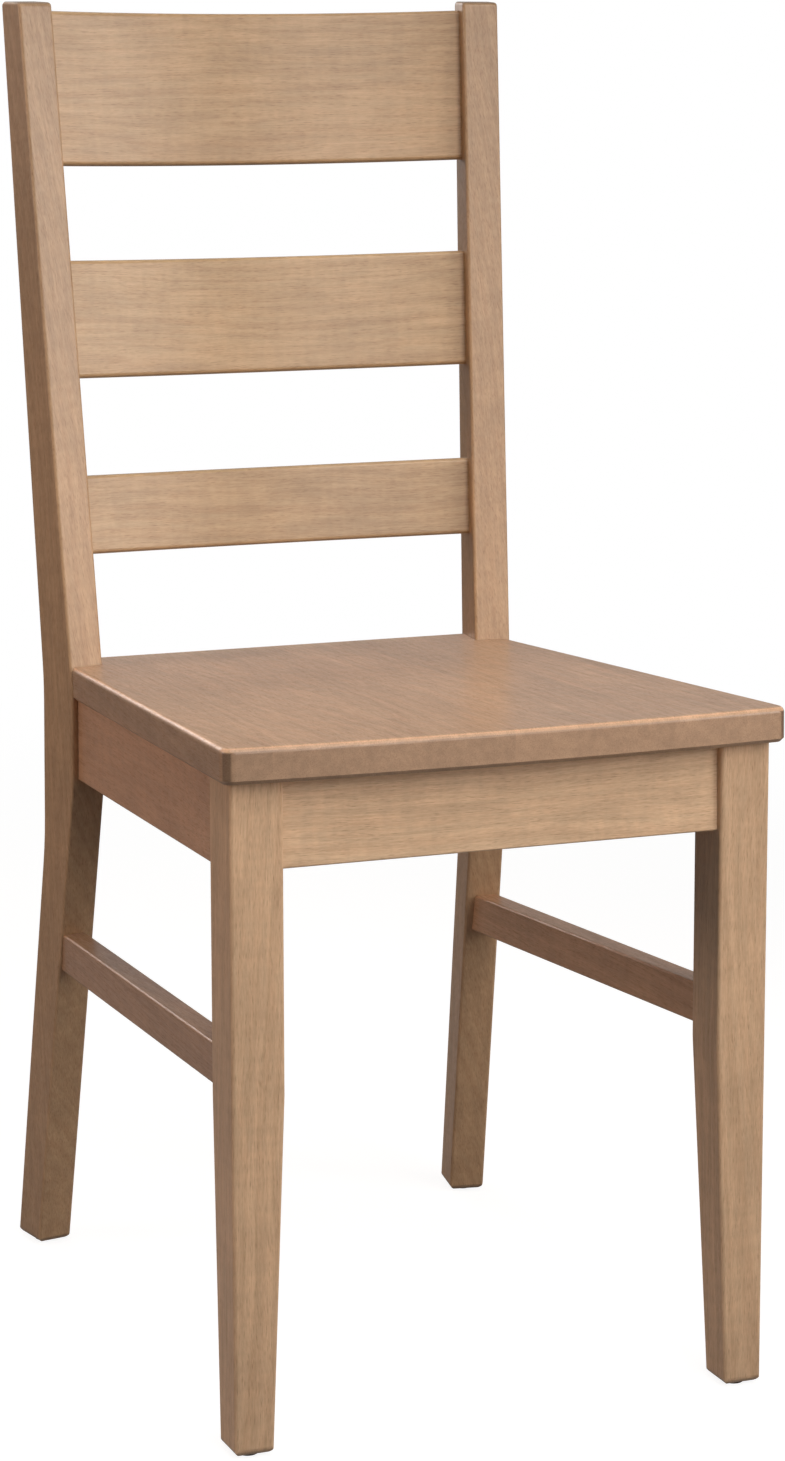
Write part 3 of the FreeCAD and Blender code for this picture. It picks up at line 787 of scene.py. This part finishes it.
def light_world(stage):
    """Even light from all round, and a white backdrop that the lacquer mirrors faintly."""
    world = bpy.data.worlds.new("studio")
    bpy.context.scene.world = world
    world.use_nodes = True
    sheet = Sheet(world.node_tree)
    out = world.node_tree.nodes["World Output"]
    even = world.node_tree.nodes["Background"]
    even.inputs["Color"].default_value = (1.0, 0.985, 0.97, 1)
    even.inputs["Strength"].default_value = stage.room_light
    toward = sheet.node("ShaderNodeSeparateXYZ", sheet.node(
        "ShaderNodeTexCoord").outputs["Generated"]).outputs["Y"]
    ray = sheet.node("ShaderNodeLightPath").outputs

    # What the lacquer mirrors is brightest behind the chair
    least = 0.1
    behind = sheet.ramp(toward, 0.0, 0.5, least, stage.mirrored_light)
    strength = sheet.calc("MAXIMUM", ray["Is Camera Ray"], behind)
    shown = sheet.node("ShaderNodeBackground", (1, 1, 1, 1))
    sheet.feed(shown.inputs["Strength"], strength)
    seen = sheet.calc("MAXIMUM", ray["Is Camera Ray"], ray["Is Glossy Ray"])
    seen = sheet.calc("MAXIMUM", seen, ray["Is Transmission Ray"])
    both = sheet.node("ShaderNodeMixShader")
    sheet.feed(both.inputs[0], seen)
    sheet.feed(both.inputs[1], even.outputs[0])
    sheet.feed(both.inputs[2], shown.outputs[0])
    sheet.feed(out.inputs["Surface"], both.outputs[0])


def hang_lamp(name, place, aim, size, power, spread, colour):
    """A soft rectangular lamp aimed at a point."""
    light = bpy.data.lights.new(name, "AREA")
    light.shape = "RECTANGLE"
    light.size, light.size_y = size
    light.energy = power
    light.spread = math.radians(spread)
    light.color = colour
    lamp = bpy.data.objects.new(name, light)
    lamp.location = place
    lamp.rotation_euler = (Vector(aim) - Vector(place)).to_track_quat("-Z", "Y").to_euler()
    bpy.context.collection.objects.link(lamp)


def set_camera(stage):
    """The camera of the photograph, from where it looks to where it stands."""
    level = math.cos(stage.elevation)
    back = Vector((math.sin(stage.azimuth) * level, -math.cos(stage.azimuth) * level,
                   math.sin(stage.elevation)))
    right = Vector((0, 0, 1)).cross(back).normalized()
    up = back.cross(right)
    turn = Matrix((right, up, back)).transposed() @ Matrix.Rotation(stage.roll, 3, "Z")
    lens = bpy.data.cameras.new("studio_camera")
    lens.sensor_fit = "AUTO"
    lens.sensor_width = SENSOR_WIDTH
    lens.lens = stage.lens
    camera = bpy.data.objects.new("studio_camera", lens)
    camera.matrix_world = Matrix.Translation(
        Vector(stage.target) + back * stage.distance) @ turn.to_4x4()
    bpy.context.collection.objects.link(camera)
    bpy.context.scene.camera = camera


class CHAIR_OT_stage(Operator):
    """Lay the floor, hang the lamps and place the camera"""
    bl_idname = "chair.stage"
    bl_label = "Studio"

    def execute(self, context):
        stage = context.scene.chair_stage
        sides = 96
        rim = [(FLOOR_REACH * math.cos(2 * math.pi * n / sides),
                FLOOR_REACH * math.sin(2 * math.pi * n / sides), 0) for n in range(sides)]
        mesh = bpy.data.meshes.new("studio_floor")
        mesh.from_pydata(rim, [], [range(sides)])
        mesh.materials.append(floor_material(stage))
        floor = bpy.data.objects.new("studio_floor", mesh)
        context.collection.objects.link(floor)
        light_world(stage)
        for name, (place, aim, size, spread, colour) in LAMPS.items():
            power = getattr(stage, name + "_power")
            hang_lamp(name + "_lamp", place, aim, size, power, spread, colour)
        set_camera(stage)
        context.scene.view_settings.view_transform = "Standard"
        return {"FINISHED"}


# Panel and order of work

OPERATORS = (CHAIR_OT_posts, CHAIR_OT_legs, CHAIR_OT_rails, CHAIR_OT_stretchers, CHAIR_OT_seat,
             CHAIR_OT_blocks, CHAIR_OT_hardware, CHAIR_OT_slats, CHAIR_OT_stage)
SETTINGS = (BeechSettings, SlatSettings, StageSettings)


class CHAIR_PT_workshop(Panel):
    """Sizes, colours and the steps of the work"""
    bl_idname = "CHAIR_PT_workshop"
    bl_label = "Ladderback chair"
    bl_space_type = "VIEW_3D"
    bl_region_type = "UI"
    bl_category = "Chair"

    def draw(self, context):
        for settings in (context.scene.chair_beech, context.scene.chair_slats,
                         context.scene.chair_stage):
            box = self.layout.box()
            for name in settings.__annotations__:
                box.prop(settings, name)
        for operator in OPERATORS:
            self.layout.operator(operator.bl_idname)


def register():
    for kind in SETTINGS + OPERATORS + (CHAIR_PT_workshop,):
        bpy.utils.register_class(kind)
    bpy.types.Scene.chair_beech = PointerProperty(type=BeechSettings)
    bpy.types.Scene.chair_slats = PointerProperty(type=SlatSettings)
    bpy.types.Scene.chair_stage = PointerProperty(type=StageSettings)


def unregister():
    del bpy.types.Scene.chair_beech, bpy.types.Scene.chair_slats, bpy.types.Scene.chair_stage
    for kind in reversed(SETTINGS + OPERATORS + (CHAIR_PT_workshop,)):
        bpy.utils.unregister_class(kind)


def main():
    register()
    bpy.ops.chair.posts()
    bpy.ops.chair.legs()
    bpy.ops.chair.rails()
    bpy.ops.chair.stretchers()
    bpy.ops.chair.seat()
    bpy.ops.chair.blocks()
    bpy.ops.chair.hardware()
    bpy.ops.chair.slats()
    bpy.ops.chair.stage()


if __name__ == "__main__":
    main()
